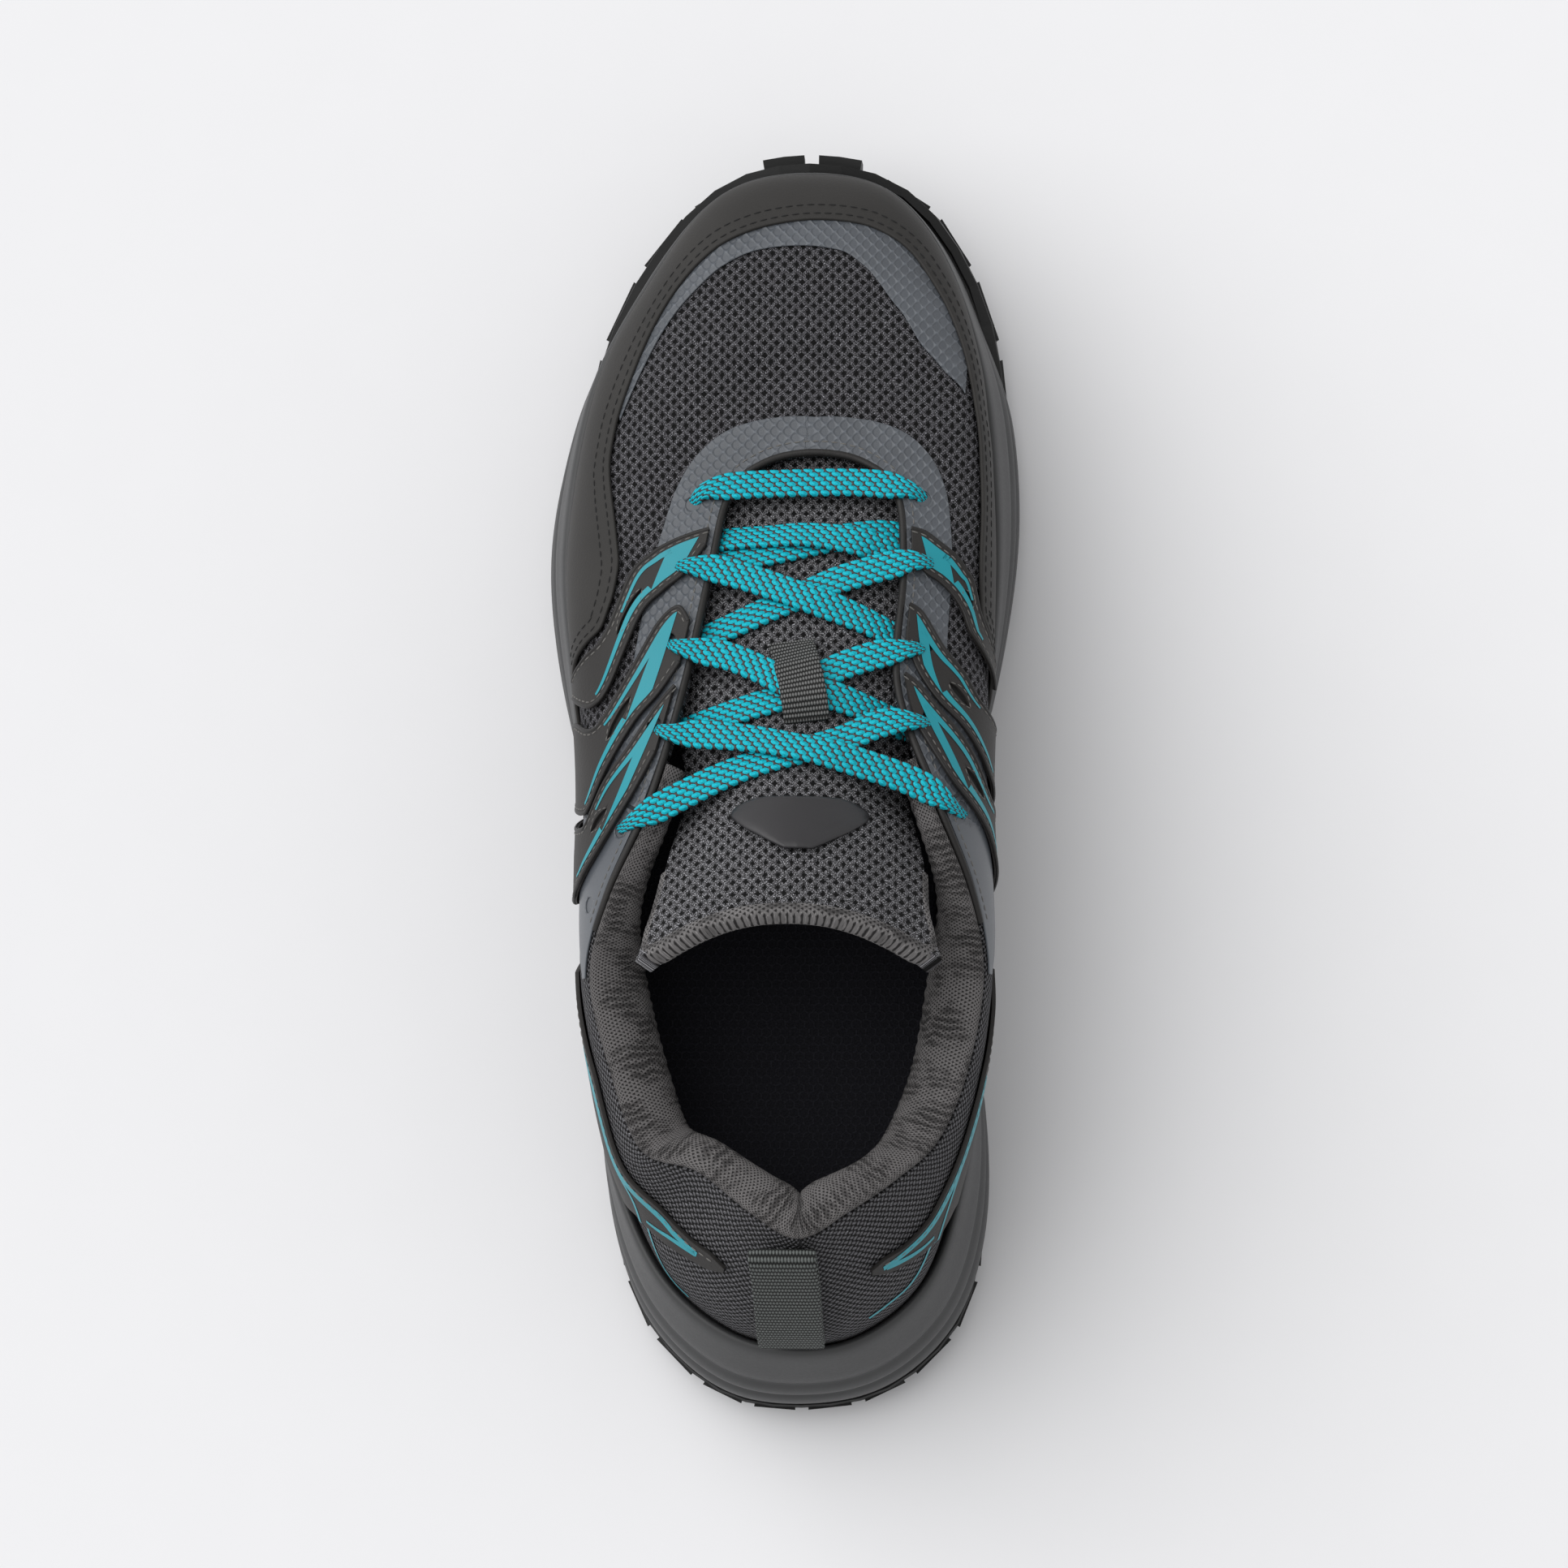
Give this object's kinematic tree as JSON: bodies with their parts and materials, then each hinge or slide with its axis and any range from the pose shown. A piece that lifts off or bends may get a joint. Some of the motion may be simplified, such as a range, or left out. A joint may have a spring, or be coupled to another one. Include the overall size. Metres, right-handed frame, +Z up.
{
  "type": "trail running shoe",
  "caption": "Low trail running shoe for the left foot: mesh upper with overlays, padded collar, flat laces, heel pull tab and a lugged rubber sole.",
  "frame": {"origin": "middle of the shoe's length and width, on the floor", "axes": "+Z up, +Y towards the toe, +X towards the inner side of the foot"},
  "size_m": [0.1139, 0.2993, 0.1154],
  "materials": {
    "midsole_foam": "matt foam",
    "outsole_rubber": "matt rubber",
    "upper_mesh": "open knit mesh",
    "embossed_film": "satin film",
    "overlay_synthetic": "matt synthetic",
    "collar_knit": "fine knit",
    "insole_fabric": "brushed fabric",
    "webbing": "ribbed webbing",
    "lace_yarn": "woven",
    "badge_rubber": "matt"
  },
  "bodies": {
    "root": {"outsole": "outsole_rubber", "midsole": "midsole_foam", "insole": "insole_fabric", "upper": "upper_mesh", "toe_cap": "overlay_synthetic", "toe_film": "embossed_film", "eyestay": "embossed_film", "outer_strap_front": "overlay_synthetic", "outer_strap_middle": "overlay_synthetic", "outer_strap_back": "overlay_synthetic", "inner_strap_front": "overlay_synthetic", "inner_strap_middle": "overlay_synthetic", "inner_strap_back": "overlay_synthetic", "outer_heel_wing": "overlay_synthetic", "inner_heel_wing": "overlay_synthetic", "collar_lining": "collar_knit", "tongue": "upper_mesh", "lace_bar": "lace_yarn", "lace_crossing_1": "lace_yarn", "lace_crossing_2": "lace_yarn", "lace_crossing_3": "lace_yarn", "lace_crossing_4": "lace_yarn", "lace_keeper": "webbing", "tongue_badge": "badge_rubber", "pull_tab": "webbing"}
  },
  "joints": []
}
